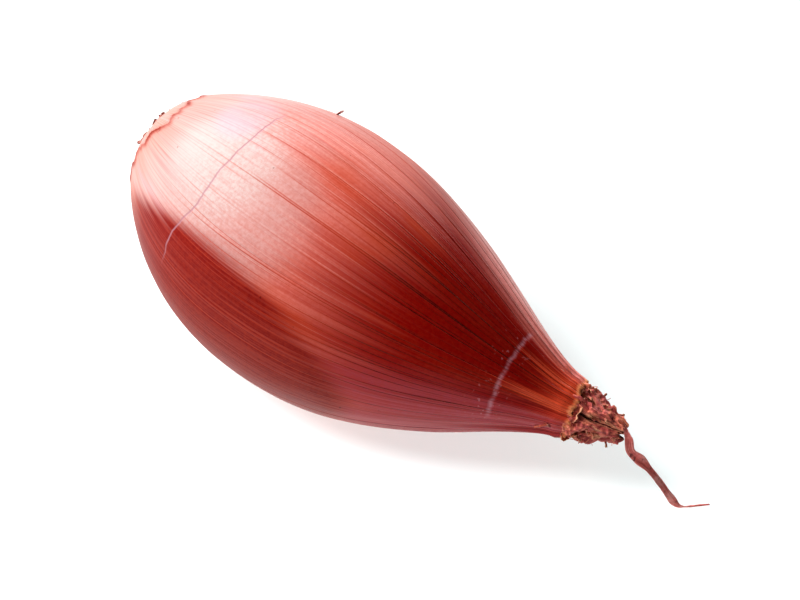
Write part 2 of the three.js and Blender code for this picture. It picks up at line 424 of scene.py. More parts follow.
class NodeKit:
    """Adds nodes to a shader or geometry tree, so that a tree reads as a formula."""

    def __init__(self, tree):
        self.tree = tree

    def add(self, kind, inputs=None, **settings):
        node = self.tree.nodes.new(kind)
        for name, value in settings.items():
            setattr(node, name, value)
        for key, value in (inputs or {}).items():
            if isinstance(value, bpy.types.NodeSocket):
                self.tree.links.new(value, node.inputs[key])
            else:
                node.inputs[key].default_value = value
        return node

    def math(self, operation, *values):
        return self.add("ShaderNodeMath", dict(enumerate(values)), operation=operation).outputs[0]

    def times(self, *values):
        product = values[0]
        for value in values[1:]:
            product = self.math("MULTIPLY", product, value)
        return product

    def vectors(self, operation, *values):
        return self.add("ShaderNodeVectorMath", dict(enumerate(values)), operation=operation).outputs[0]

    def stretched(self, vector, factor):
        return self.add("ShaderNodeVectorMath", {0: vector, 3: factor}, operation="SCALE").outputs[0]

    def split(self, vector):
        return self.add("ShaderNodeSeparateXYZ", {0: vector}).outputs

    def between(self, value, low, high, start=0.0, end=1.0):
        """Goes smoothly from start to end as the value goes from low to high."""
        inputs = {0: value, 1: low, 2: high, 3: start, 4: end}
        return self.add("ShaderNodeMapRange", inputs, interpolation_type="SMOOTHSTEP").outputs[0]

    def noise(self, vector, scale, detail=2.0, roughness=0.5):
        inputs = {"Vector": vector, "Scale": scale, "Detail": detail, "Roughness": roughness}
        return self.add("ShaderNodeTexNoise", inputs).outputs[0]

    def grain(self, flow, across, along, detail, roughness=0.5):
        """Noise with its own fineness across and along the skin."""
        return self.noise(self.vectors("MULTIPLY", flow, (across, across, along)), 1.0, detail, roughness)

    def mix(self, factor, first, second):
        """Blends two colours, each three plain numbers or the output of a node."""
        first, second = (
            each if isinstance(each, bpy.types.NodeSocket) else (*each, 1.0) for each in (first, second)
        )
        settings = {"data_type": "RGBA", "clamp_factor": True}
        return self.add("ShaderNodeMix", {0: factor, 6: first, 7: second}, **settings).outputs[2]

    def layered(self, base, layers):
        """Lays colours over the base one by one. Each layer is its share and its colour."""
        for amount, colour_over in layers:
            base = self.mix(amount, base, colour_over)
        return base

    def finish(self, shader, base, rough, relief, strength, height):
        """Links colour, roughness and bump to the shader."""
        bump = self.add("ShaderNodeBump", {"Strength": strength, "Distance": height, "Height": relief})
        self.tree.links.new(base, shader.inputs["Base Color"])
        self.tree.links.new(rough, shader.inputs["Roughness"])
        self.tree.links.new(bump.outputs[0], shader.inputs["Normal"])

    def attribute(self, name):
        return self.add("ShaderNodeAttribute", attribute_name=name)


def new_material(name, **constants):
    """A material with one Principled shader. Constants are set on the shader's own sockets."""
    material = bpy.data.materials.new(name)
    material.use_nodes = True
    shader = material.node_tree.nodes["Principled BSDF"]
    for key, value in constants.items():
        shader.inputs[key.replace("_", " ")].default_value = value
    return material, NodeKit(material.node_tree), shader


def line_field(kit, flow, pairs, drift, wander, start):
    """1 along the middle of lengthwise lines and 0 between them. pairs is half their number round the bulb.

    flow is (cosine, sine, share of the length)."""
    cosine, sine, _ = kit.split(flow)
    turned = kit.times(kit.math("ARCTAN2", sine, cosine), float(pairs))
    phase = kit.math("MULTIPLY_ADD", drift, wander, turned)
    line = kit.math("SUBTRACT", 1.0, kit.math("ABSOLUTE", kit.math("SINE", phase)))
    return kit.between(line, start, 1.0)


def vein_field(kit, flow, pairs):
    """0 between veins and 1 along the middle of a strong one."""
    lines = line_field(kit, flow, pairs, kit.grain(flow, 2.1, 0.8, 1.0), 3.6, 0.84)
    strength = kit.between(kit.grain(flow, 9.0, 0.9, 1.0), 0.4, 0.62)
    return kit.times(lines, strength, kit.between(kit.split(flow)[2], 0.12, 0.45, 0.15, 1.0))


def thread_field(kit, flow, pairs, wander, patchiness):
    """1 along thin lengthwise lines that come and go."""
    lines = line_field(kit, flow, pairs, kit.grain(flow, 3.7, 0.7, 2.0), wander, 0.7)
    strength = kit.grain(flow, pairs * 0.5, 2.2, 1.0)
    return kit.times(lines, kit.between(strength, patchiness, patchiness + 0.14))


def skin_zone(kit, flow, angle, spread, station, reach):
    """1 in the middle of an oval of skin, fading to 0 at its edge.

    Station and reach are shares of the length, and angles are from the top."""
    cosine, sine, along = kit.split(flow)
    turned = kit.math("SUBTRACT", kit.math("ARCTAN2", sine, cosine), angle)
    turned = kit.math("WRAP", turned, math.pi, -math.pi)
    across = kit.math("POWER", kit.math("ABSOLUTE", kit.math("DIVIDE", turned, spread)), 2.0)
    away = kit.math("ABSOLUTE", kit.math("DIVIDE", kit.math("SUBTRACT", along, station), reach))
    return kit.between(kit.math("ADD", across, kit.math("POWER", away, 2.0)), 0.1, 1.0, 1.0, 0.0)


def crease_field(kit, flow, station, start, end, width, slide=0.0):
    """1 along a fold across the skin at that share of the length, between two angles from the top."""
    cosine, sine, along = kit.split(flow)
    angle = kit.math("ARCTAN2", sine, cosine)
    wobble = kit.math("MULTIPLY_ADD", kit.noise(flow, 7.0, 2.0), 0.012, station - 0.006)
    middle = kit.math("SUBTRACT", wobble, kit.between(angle, end - 0.5, end, 0.0, slide))
    away = kit.math("ABSOLUTE", kit.math("SUBTRACT", along, middle))
    opens = kit.between(angle, start - 0.12, start + 0.05)
    closes = kit.between(angle, end, end + 0.3, 1.0, 0.0)
    return kit.times(kit.between(away, 0.0, width, 1.0, 0.0), opens, closes)


# ---------------------------------------------------------------- materials

ROOT_CREASE = {"station": 0.257, "start": -0.15, "end": 1.25, "width": 0.0034, "slide": 0.026}
NECK_CREASE = {"station": 0.886, "start": -0.3, "end": 1.4, "width": 0.0065}
BACK_CREASE = {"station": 0.47, "start": -2.6, "end": -1.5, "width": 0.004, "slide": -0.02}
SCUFFED_BAND = {"station": 0.88, "start": -0.2, "end": 1.5, "width": 0.05}
# FADED_AND_SHEEN_ZONE: paler far side by the neck, worn-off colour and painted sheen
FADED_AND_SHEEN_ZONE = {"angle": -0.95, "spread": 0.8, "station": 0.92, "reach": 0.36}
# MAUVE_REFLECTION_ZONE: painted floor reflection low on the near side by the neck
MAUVE_REFLECTION_ZONE = {"angle": 1.75, "spread": 0.8, "station": 0.9, "reach": 0.46}
# Painted highlight: a paler zone on top of the root half where the broad highlight falls
PAINTED_HIGHLIGHT_ZONE = {"angle": 0.65, "spread": 0.75, "station": 0.31, "reach": 0.21}
# Painted sheen: a whiter zone inside the painted highlight
PAINTED_SHEEN_ZONE = {"angle": 0.45, "spread": 0.62, "station": 0.24, "reach": 0.15}
# FLANK_SHADE_ZONE: painted shade low on the near flank, partly darker skin
FLANK_SHADE_ZONE = {"angle": 1.82, "spread": 1.0, "station": 0.34, "reach": 0.38}
LILAC_ZONE = {"angle": 0.0, "spread": 0.36, "station": 0.2, "reach": 0.075}
THREADS = {"pairs": 47, "wander": 7.0, "patchiness": 0.42}
PALE_THREADS = {"pairs": 61, "wander": 9.0, "patchiness": 0.46}
SKIN_SHINE = {"Specular_IOR_Level": 0.28, "Specular_Tint": (1.0, 0.7, 0.64, 1.0)}


def skin_colour(kit, skin, flow, fine, streaks):
    """The skin's colour before its lines and wear, and how much of it is the flank's painted shade."""
    along = kit.split(flow)[2]
    broad = kit.grain(flow, 5.0, 1.3, 2.0)
    drift = kit.math("MULTIPLY_ADD", broad, 0.3, kit.math("MULTIPLY_ADD", streaks, 0.24, -0.27))
    reach = kit.math("ADD", along, drift)
    pale = kit.times(kit.between(fine, 0.46, 0.72), kit.between(along, 0.2, 0.62, 0.5, 0.03))
    dim = kit.times(kit.between(fine, 0.5, 0.28), 0.3)
    # Paler pink on the far side by the neck: worn-off colour and painted sheen
    faded_and_sheen = kit.times(skin_zone(kit, flow, **FADED_AND_SHEEN_ZONE), kit.between(streaks, 0.3, 0.6, 0.55, 1.0))
    # Painted reflection of the pale floor in mauve, low on the near side by the neck
    mauve_reflection = kit.times(skin_zone(kit, flow, **MAUVE_REFLECTION_ZONE), kit.between(streaks, 0.35, 0.6, 0.5, 1.0))
    blotches = kit.between(kit.grain(flow, 3.4, 4.0, 3.0), 0.46, 0.7)
    amber = kit.times(blotches, 0.5, kit.between(along, 0.3, 0.5), kit.between(along, 0.74, 0.6, 0.2, 1.0))
    papery = kit.times(thread_field(kit, flow, **PALE_THREADS), kit.between(along, 0.75, 0.5))
    papery = kit.times(papery, kit.between(along, 0.25, 0.5, 0.4, 0.25))
    # Painted highlight: root colour laid where the broad highlight falls on top of the root half
    painted_highlight = kit.times(skin_zone(kit, flow, **PAINTED_HIGHLIGHT_ZONE), kit.between(streaks, 0.3, 0.6, 0.6, 1.0), 0.75)
    # Painted sheen: whitish highlight colour inside the painted highlight
    painted_sheen = kit.times(skin_zone(kit, flow, **PAINTED_SHEEN_ZONE), kit.between(fine, 0.28, 0.6, 0.45, 1.0), 0.85)
    # Painted shade low on the near flank, partly the skin's darker red, laid over all the colours above
    flank_shade = kit.times(skin_zone(kit, flow, **FLANK_SHADE_ZONE), kit.between(streaks, 0.3, 0.6, 0.7, 1.0))
    flank_shade = kit.between(flank_shade, 0.08, 0.5)
    low = kit.mix(kit.between(fine, 0.42, 0.7, 0.0, 0.2), skin.flank_shade_colour, skin.belly_colour)
    base = kit.layered(skin.root_colour, (
        (kit.between(reach, 0.08, 0.5), skin.belly_colour),
        (kit.between(reach, 0.4, 0.74), skin.deep_colour),
        (kit.between(reach, 0.9, 1.02), skin.neck_colour),
        (pale, skin.light_colour),
        (dim, skin.deep_colour),
        (faded_and_sheen, skin.faded_and_sheen_colour),
        (mauve_reflection, skin.mauve_reflection_colour),
        (amber, skin.amber_colour),
        (papery, skin.light_colour),
        (painted_highlight, skin.root_colour),
        (painted_sheen, skin.highlight_colour),
        (flank_shade, low),
    ))
    return base, flank_shade


def skin_material(skin):
    material, kit, shader = new_material("dry_skin", **SKIN_SHINE)
    flow = kit.attribute("flow").outputs["Vector"]
    along = kit.split(flow)[2]
    position = kit.add("ShaderNodeTexCoord").outputs["Object"]
    fine = kit.grain(flow, 66.0, 3.0, 2.0, 0.55)
    streaks = kit.grain(flow, 24.0, 1.6, 3.0, 0.6)
    veins = vein_field(kit, flow, skin.vein_pairs)
    threads = kit.times(thread_field(kit, flow, **THREADS), kit.between(along, 0.1, 0.3))
    base, flank_shade = skin_colour(kit, skin, flow, fine, streaks)

    line = kit.mix(kit.between(along, 0.5, 0.72), skin.thread_colour, skin.vein_colour)
    mottle = kit.between(kit.noise(position, 1500.0, 3.0, 0.7), 0.35, 0.65, 0.0, 0.22)
    worn = kit.grain(flow, 2.6, 3.0, 3.0, 0.65)
    shoulder = kit.times(kit.between(along, 0.16, 0.02), kit.between(worn, 0.35, 0.6, 0.5, 1.0), 0.7)
    rubbed = kit.times(kit.between(worn, 0.56, 0.7), kit.between(along, 0.42, 0.2), 0.6)
    lilac = kit.times(skin_zone(kit, flow, **LILAC_ZONE), kit.between(worn, 0.3, 0.6))
    # No rubbed patches show inside the painted flank shade
    rubbed = kit.times(kit.math("MAXIMUM", rubbed, lilac), kit.math("SUBTRACT", 1.0, flank_shade), 0.5)
    broken = kit.times(crease_field(kit, flow, **NECK_CREASE), kit.between(streaks, 0.36, 0.56, 0.35, 1.0))
    whole = (crease_field(kit, flow, **crease) for crease in (ROOT_CREASE, BACK_CREASE))
    creases = kit.math("MAXIMUM", *whole)
    scuffs = kit.between(kit.noise(position, 1500.0, 1.0), 0.64, 0.74)
    scuffs = kit.times(scuffs, crease_field(kit, flow, **SCUFFED_BAND), 0.35)
    inner = kit.mix(kit.between(fine, 0.35, 0.7), skin.inner_colour, skin.root_colour)
    ends = kit.mix(kit.between(along, 0.5, 0.6), skin.torn_colour, skin.rim_colour)
    specks = kit.between(kit.noise(position, 900.0, 1.0), 0.78, 0.82)
    base = kit.layered(base, (
        (kit.times(threads, kit.between(along, 0.45, 0.65, 0.6, 0.9)), line),
        (kit.times(veins, kit.between(along, 0.45, 0.65, 0.8, 0.95)), line),
        (kit.times(mottle, kit.between(along, 0.1, 0.3)), skin.thread_colour),
        (shoulder, skin.shoulder_colour),
        (rubbed, skin.worn_colour),
        (kit.times(creases, 0.8), skin.crease_colour),
        (kit.math("MAXIMUM", scuffs, kit.times(broken, 0.5)), skin.worn_colour),
        (kit.attribute("exposed").outputs["Fac"], inner),
        (kit.attribute("edge").outputs["Fac"], ends),
        (kit.times(specks, 0.5), skin.vein_colour),
    ))

    patch = kit.noise(position, 90.0, 3.0, 0.55)
    rough = kit.math("MULTIPLY_ADD", patch, 0.16, kit.between(along, 0.35, 0.65, 0.28, 0.18))
    rough = kit.math("MULTIPLY_ADD", fine, 0.16, rough)
    rough = kit.math("MULTIPLY_ADD", veins, 0.12, rough)
    relief = kit.math("MULTIPLY_ADD", threads, -0.25, kit.times(veins, 0.6))
    relief = kit.math("MULTIPLY_ADD", fine, 0.5, relief)
    relief = kit.math("MULTIPLY_ADD", kit.noise(position, 1600.0, 2.0), 0.16, relief)
    relief = kit.math("MULTIPLY_ADD", kit.math("MAXIMUM", creases, broken), -0.4, relief)
    kit.finish(shader, base, rough, relief, strength=0.5, height=0.16 * MM)
    return material


def paper_material(name, leaf, ridge, shade, pale, fibre_count=14.0):
    """Dry crumpled leaf, with painted shade in its folds. hollow is 1 deep in a fold, where the shade
    colour is painted, and edge is 1 along a torn end.
    """
    material, kit, shader = new_material(name, Sheen_Weight=0.1)
    position = kit.add("ShaderNodeTexCoord").outputs["Object"]
    hollow = kit.attribute("hollow").outputs["Fac"]
    edge = kit.attribute("edge").outputs["Fac"]
    cloud = kit.noise(position, 420.0, 4.0, 0.62)
    grain = kit.noise(position, 2600.0, 3.0, 0.6)
    unrolled = kit.add("ShaderNodeUVMap", uv_map=BAKE_MAP).outputs[0]
    fibres = kit.noise(kit.vectors("MULTIPLY", unrolled, (fibre_count, 5.0, 0.0)), 1.0, 3.0, 0.6)
    base = kit.layered(leaf, (
        (kit.between(cloud, 0.44, 0.66, 0.0, 0.6), ridge),
        (kit.between(fibres, 0.48, 0.7, 0.0, 0.6), ridge),
        # Dark fibre streaks in the shade colour, then painted shade deep in the folds
        (kit.between(fibres, 0.46, 0.3, 0.0, 0.35), shade),
        (kit.between(kit.math("MULTIPLY_ADD", grain, 0.3, hollow), 0.42, 0.95), shade),
        (kit.times(edge, kit.between(grain, 0.3, 0.6, 0.55, 1.0)), pale),
    ))
    relief = kit.math("MULTIPLY_ADD", fibres, 0.9, kit.times(cloud, 0.5))
    relief = kit.math("MULTIPLY_ADD", grain, 0.3, relief)
    rough = kit.between(grain, 0.3, 0.7, 0.5, 0.8)
    kit.finish(shader, base, rough, relief, strength=0.7, height=0.2 * MM)
    return material


def cork_material(name, base_colour, other_colour, crumb_colour, crumbs):
    """Rough cork. Crumbs lie where the grain is above that value."""
    material, kit, shader = new_material(name)
    position = kit.add("ShaderNodeTexCoord").outputs["Object"]
    cloud = kit.noise(position, 520.0, 4.0, 0.65)
    grain = kit.noise(position, 2400.0, 3.0, 0.65)
    base = kit.mix(kit.between(cloud, 0.38, 0.62), base_colour, other_colour)
    base = kit.mix(kit.between(grain, crumbs, crumbs + 0.12), base, crumb_colour)
    relief = kit.math("MULTIPLY_ADD", grain, 0.5, cloud)
    rough = kit.between(grain, 0.3, 0.7, 0.72, 0.95)
    kit.finish(shader, base, rough, relief, strength=0.8, height=0.3 * MM)
    return material


# ---------------------------------------------------------------- bulb skin

SKIN_COLUMNS = 640
TEAR_ROWS, SHOULDER_ROWS, BODY_ROWS, NECK_ROWS = 34, 26, 44, 34
TEAR_ZONE = 8 * MM
NECK_ZONE = 64 * MM
RIM_FALL = 0.42
LIP = 0.2 * MM
# The pleats are waves round the neck, each with its number and phase, that turn by radians per metre
PLEAT_WAVES = ((9, 0.4), (14, 2.1), (23, 4.0), (31, 1.2))
PLEAT_TURN = 18.0
CREASE_DEPTH = 0.05 * MM
# Each row of a hidden inner wall: how deep it lies from the rim and how far inside it, in millimetres
ROOT_WALL = ((2.4, 3.0), (2.3, 1.1), (1.6, 0.85), (0.8, 0.6), (0.15, 0.42))
NECK_WALL = ((0.05, 0.0), (0.6, 0.1), (1.5, 0.2), (2.6, 0.4), (3.0, 1.8))


def tear_station(angle):
    """How far from the root rim the outer skin is torn away, at each angle from the top."""

    def tongue(middle, width):
        return hill((angle - middle + math.pi) % (2 * math.pi), math.pi, width)

    ragged = fractal(np.cos(angle) * 2.6, np.sin(angle) * 2.6, 0.0, 5)
    nicks = np.abs(fractal(np.cos(angle) * 9.0, np.sin(angle) * 9.0, 4.0, 4))
    return (0.9 + 2.4 * tongue(0.3, 0.5) + 3.2 * tongue(3.6, 0.7) + 1.7 * ragged + 0.5 * nicks) * MM


def rim_station(form, angle):
    """The ragged neck rim of the outer skin, which reaches furthest over the neck on the right."""
    ragged = fractal(np.cos(angle) * 2.2, np.sin(angle) * 2.2, 5.0, 4)
    return form.bulb.length + (1.1 + 1.0 * np.cos(angle - 0.9) + 0.7 * ragged) * MM


def skin_stations(form, angle):
    """Rows of stations from the root rim to the neck rim, closest together where the skin is torn."""
    belly = form.bulb.belly_station
    shares = np.concatenate((
        TEAR_ZONE * np.linspace(0, 1, TEAR_ROWS, endpoint=False) ** 1.25,
        np.linspace(TEAR_ZONE, belly, SHOULDER_ROWS, endpoint=False),
        np.linspace(belly, NECK_ZONE, BODY_ROWS, endpoint=False),
        np.linspace(NECK_ZONE, form.bulb.length, NECK_ROWS),
    ))
    stretch = smooth_step(NECK_ZONE, form.bulb.length, shares)[:, None]
    return shares[:, None] + stretch * (rim_station(form, angle) - form.bulb.length)[None, :]


def skin_lift(bulb, skin, angle, station, tear, exposed):
    """How far the skin stands off its even form: dents, pleats, the curled tear and the neck rim."""
    pleats = np.zeros_like(station)
    turned = PLEAT_TURN * (station - bulb.length)
    for number, (waves, phase) in enumerate(PLEAT_WAVES):
        pleats += np.cos(waves * angle + phase + turned) / (1 + 0.45 * number)
    pleated = smooth_step(0.76 * bulb.length, bulb.length, station) ** 1.5
    dents = fractal(np.cos(angle) * 1.6, np.sin(angle) * 1.6, station / (24 * MM))
    curl = hill(station - tear, 0.35 * MM, 0.4 * MM)
    lift = skin.dent_depth * dents * smooth_step(0, 12 * MM, station)
    lift += skin.pleat_height * pleats * 0.5 * pleated
    lift += skin.layer_step * (0.5 * curl * (1 - exposed) - exposed)
    lift += 0.16 * MM * hill(station[-1:] - station, 0.15 * MM, 0.3 * MM)
    return lift - RIM_FALL * np.maximum(station - bulb.length, 0.0)


def walled(values, at_root, at_neck):
    """Adds the values on the rows of the two hidden walls to those of the outer skin."""
    root_rows = np.broadcast_to(at_root, (len(ROOT_WALL), *values.shape[1:]))
    neck_rows = np.broadcast_to(at_neck, (len(NECK_WALL), *values.shape[1:]))
    return np.concatenate((root_rows, values, neck_rows))


def skin_mesh(form, skin):
    bulb = form.bulb
    angle = angles_round(SKIN_COLUMNS)[None, :]
    station = skin_stations(form, angle[0])
    rim = station[-1:]
    cosine, sine = np.cos(angle), np.sin(angle)
    tear = tear_station(angle[0])[None, :]
    exposed = smooth_step(tear + 0.1 * MM, tear - 0.12 * MM, station)
    outer = form.skin(angle, station)
    outer = outer + grid_normals(outer) * skin_lift(bulb, skin, angle, station, tear, exposed)[..., None]

    rim_radius = bulb.neck_radius - RIM_FALL * (rim - bulb.length) - LIP
    root_wall = [form.round(angle, depth * MM, bulb.root_radius - inset * MM) for depth, inset in ROOT_WALL]
    neck_wall = [form.round(angle, rim - depth * MM, rim_radius - inset * MM) for depth, inset in NECK_WALL]
    points = np.concatenate((*root_wall, outer, *neck_wall))
    points[..., 2] = np.maximum(points[..., 2], 0.0)

    patchy = smooth_step(-0.25, 0.3, fractal(cosine * 4.0, sine * 4.0, 3.0))
    torn = hill(station - tear, 0.3 * MM, 0.7 * MM) * (0.6 + 0.4 * patchy)
    edge = np.maximum(torn, smooth_step(0.7 * MM, 0.3 * MM, rim - station))
    flow = np.stack(np.broadcast_arrays(cosine, sine, station / bulb.length), -1)
    values = {
        "flow": walled(flow, flow[:1], flow[-1:]),
        "exposed": walled(exposed, 1.0, 0.0),
        "edge": walled(edge, 0.0, 0.6),
    }
    return grid_mesh("shallot_skin", points, values=values)


def new_tree(name, **kinds):
    """A geometry tree whose named inputs have those kinds, with its kit and its group inputs."""
    tree = bpy.data.node_groups.new(name, "GeometryNodeTree")
    for title, kind in {"Geometry": "Geometry", **kinds, "Material": "Material"}.items():
        socket = "NodeSocket" + kind
        tree.interface.new_socket(title.replace("_", " "), in_out="INPUT", socket_type=socket)
    tree.interface.new_socket("Geometry", in_out="OUTPUT", socket_type="NodeSocketGeometry")
    kit = NodeKit(tree)
    return kit, kit.add("NodeGroupInput").outputs


def relief_tree(skin):
    """A geometry tree that raises the veins and presses in the creases."""
    kit, given = new_tree("skin_relief", Vein_Height="Float", Crease_Depth="Float")
    flow = kit.add("GeometryNodeInputNamedAttribute", {"Name": "flow"}, data_type="FLOAT_VECTOR").outputs[0]
    raised = kit.times(vein_field(kit, flow, skin.vein_pairs), given["Vein Height"])
    creases = kit.math("ADD", *(crease_field(kit, flow, **crease) for crease in (ROOT_CREASE, NECK_CREASE)))
    offset = kit.math("SUBTRACT", raised, kit.times(creases, given["Crease Depth"]))
    above = kit.between(kit.split(kit.add("GeometryNodeInputPosition").outputs[0])[2], 0.0, 0.4 * MM)
    push = kit.stretched(kit.add("GeometryNodeInputNormal").outputs[0], kit.times(offset, above))
    moved = kit.add("GeometryNodeSetPosition", {"Geometry": given["Geometry"], "Offset": push}).outputs[0]
    real = kit.add("GeometryNodeRealizeInstances", {0: moved}).outputs[0]
    done = kit.add("GeometryNodeSetMaterial", {"Geometry": real, "Material": given["Material"]}).outputs[0]
    kit.add("NodeGroupOutput", {0: done})
    return kit.tree


def add_tree(piece, tree, inputs):
    """Gives the piece a geometry tree, with its inputs set by name through their identifiers."""
    modifier = piece.modifiers.new("shape", "NODES")
    modifier.node_group = tree
    for item in tree.interface.items_tree:
        if item.item_type == "SOCKET" and item.in_out == "INPUT" and item.name in inputs:
            modifier[item.identifier] = inputs[item.name]
    return piece


class SHALLOT_OT_skin(bpy.types.Operator):
    """Adds the bulb in its tight dry skin, with veins, creases, pleats and torn edges"""

    bl_idname = "shallot.skin"
    bl_label = "Bulb Skin"

    def execute(self, context):
        settings = context.scene.shallot
        skin = settings.skin
        material = skin_material(skin)
        piece = make_object("shallot_skin", skin_mesh(BulbForm(settings.bulb), skin))
        inputs = {"Vein Height": skin.vein_height, "Crease Depth": CREASE_DEPTH, "Material": material}
        settle(add_tree(piece, relief_tree(skin), inputs))
        dress(piece, material, "dry_skin", "bulb")
        return {"FINISHED"}


# ---------------------------------------------------------------- papery sheets

STRIP_ROWS, STRIP_COLUMNS = 22, 11
STRIP_THICKNESS = {
    "neck_leaf_ends": 0.09 * MM, "neck_collars": 0.09 * MM, "neck_spikes": 0.07 * MM,
    "peeling_skin": 0.05 * MM, "torn_spur": 0.07 * MM, "root_skin_flaps": 0.08 * MM,
}


def strip_mesh(
    form, radius_at, angle, station, length, width, lift, seed,
    towards=1, fold=0.0, wind=0.3, sunk=0.0, taper=0.62,
):
    """A torn strip of dry leaf on a round surface, folded along its middle and lifted at its end."""
    u = np.linspace(0, 1, STRIP_ROWS)[:, None]
    v = np.linspace(-1, 1, STRIP_COLUMNS)[None, :]
    ragged = fractal(v * 1.7 + seed, seed * 1.7, 0.0, 4)
    uneven = fractal(u * 3.0 + seed * 2.0, 0.5 * np.sign(v), seed)
    ripple = fractal(v * 1.1 + seed * 3.1, u * 2.6, seed)
    along = station + towards * length * u * (1.0 + 0.22 * ragged * u)
    half = width / 2 * (1.0 - taper * u**2.2) * (1.0 + 0.3 * uneven)
    base = radius_at(angle, along)
    rippled = (0.35 * lift + 0.12 * width) * ripple * (0.1 + u)
    radius = base - sunk + lift * (1.15 * u**1.4 - 0.15) + rippled
    radius = radius + fold * width * (0.5 - np.abs(v)) * (1.0 - 0.5 * u)
    spread = half * v / np.maximum(base, 0.8 * MM)
    points = form.round(angle + spread + wind * math.sin(seed * 2.3) * u, along, radius)
    end = smooth_step(0.82, 1.0, u + 0 * v)
    sides = smooth_step(0.72, 1.0, np.abs(v) + 0 * u)
    # hollow: painted shade in the dips of the ripple, strongest at the strip's base
    values = {"edge": np.maximum(end, 0.8 * sides), "hollow": np.clip(0.3 - ripple, 0, 1) * (1 - u)}
    return grid_mesh("strip", points, wrapped=False, values=values)


def thicken(piece, thickness):
    solid = piece.modifiers.new("thickness", "SOLIDIFY")
    solid.thickness = thickness
    solid.offset = 0.0
    return settle(piece)


def strip_group(name, form, radius_at, strips):
    """One piece made of torn strips. Each strip is given by its own values for strip_mesh."""
    thickness = STRIP_THICKNESS[name]
    pieces = [
        thicken(make_object(f"{name}_{index}", strip_mesh(form, radius_at, **strip)), thickness)
        for index, strip in enumerate(strips)
    ]
    return joined(name, pieces)


# ---------------------------------------------------------------- dried neck

def neck_radius(form, neck):
    """The radius of the dried neck at each station."""

    def radius_at(angle, station):
        past = np.clip((np.asarray(station) - form.bulb.length) / neck.reach, 0.0, 1.0)
        return neck.base_radius + (neck.tip_radius - neck.base_radius) * past**1.15

    return radius_at


def sawtooth(turns):
    """Rises evenly from 0 to 1 and falls back once in each turn."""
    return 1.0 - np.abs(2.0 * (turns - np.floor(turns)) - 1.0)


NECK_COLUMNS = 260
NECK_CORE_ROWS, MOUTH_ROWS = 120, 12
FOLD_TURNS = 7.0  # of the folds round the core, per metre along it


def neck_mesh(form, neck):
    """The wrung core of the neck: broad folds with deep valleys, which end in an open mouth."""
    radius_at = neck_radius(form, neck)
    angle = angles_round(NECK_COLUMNS)[None, :]
    cosine, sine = np.cos(angle), np.sin(angle)
    start = form.bulb.length - 2.4 * MM
    end = form.bulb.length + neck.reach
    station = np.linspace(start, end, NECK_CORE_ROWS)[:, None]
    past = smooth_step(form.bulb.length - 0.4 * MM, form.bulb.length + 2.4 * MM, station)
    wobble = fractal(cosine * 1.3, sine * 1.3, station / (3.4 * MM))
    turns = angle / (2 * math.pi) + FOLD_TURNS * (station - form.bulb.length)
    broad = sawtooth(neck.folds * turns + 0.36 * wobble)
    fine = sawtooth((2 * neck.folds + 3) * turns + 1.4 * wobble)
    crumple = 0.5 - 2.0 * np.abs(fractal(cosine * 2.0, sine * 2.0, station / (2.2 * MM)))
    scale = 1.0 + past * (0.66 * (broad**0.7 - 0.66) + 0.16 * (fine - 0.5) + 0.15 * crumple)
    uneven = 0.9 * MM * fractal(cosine * 1.9, sine * 1.9, 9.0, 4)
    along = station + uneven * smooth_step(end - 4 * MM, end, station)
    radius = radius_at(angle, station) * scale
    # Painted shade in the broad fold valleys and the fine grooves
    valley = smooth_step(0.55, 0.12, broad**0.5)
    groove = smooth_step(0.3, 0.0, fine)
    hollow = np.maximum(valley * past, 0.6 * groove * past)
    edge = hill(broad, 0.3, 0.09) * past * 0.75

    inward = np.linspace(0.0, 1.0, MOUTH_ROWS + 1)[1:, None]
    mouth_radius = radius[-1:] * (0.82 - 0.55 * inward)
    mouth_along = along[-1:] - 2.2 * MM * inward
    mouth = form.round(angle, mouth_along, mouth_radius)
    points = np.concatenate((form.round(angle, along, radius), mouth))
    # Painted shade fills the open mouth
    inside = smooth_step(0.0, 0.35, inward) + 0 * angle
    values = {
        "hollow": np.concatenate((hollow, np.maximum(inside, hollow[-1:]))),
        "edge": np.concatenate((edge, edge[-1:] * (1 - inside))),
    }
    return grid_mesh("neck_core", points, values=values)


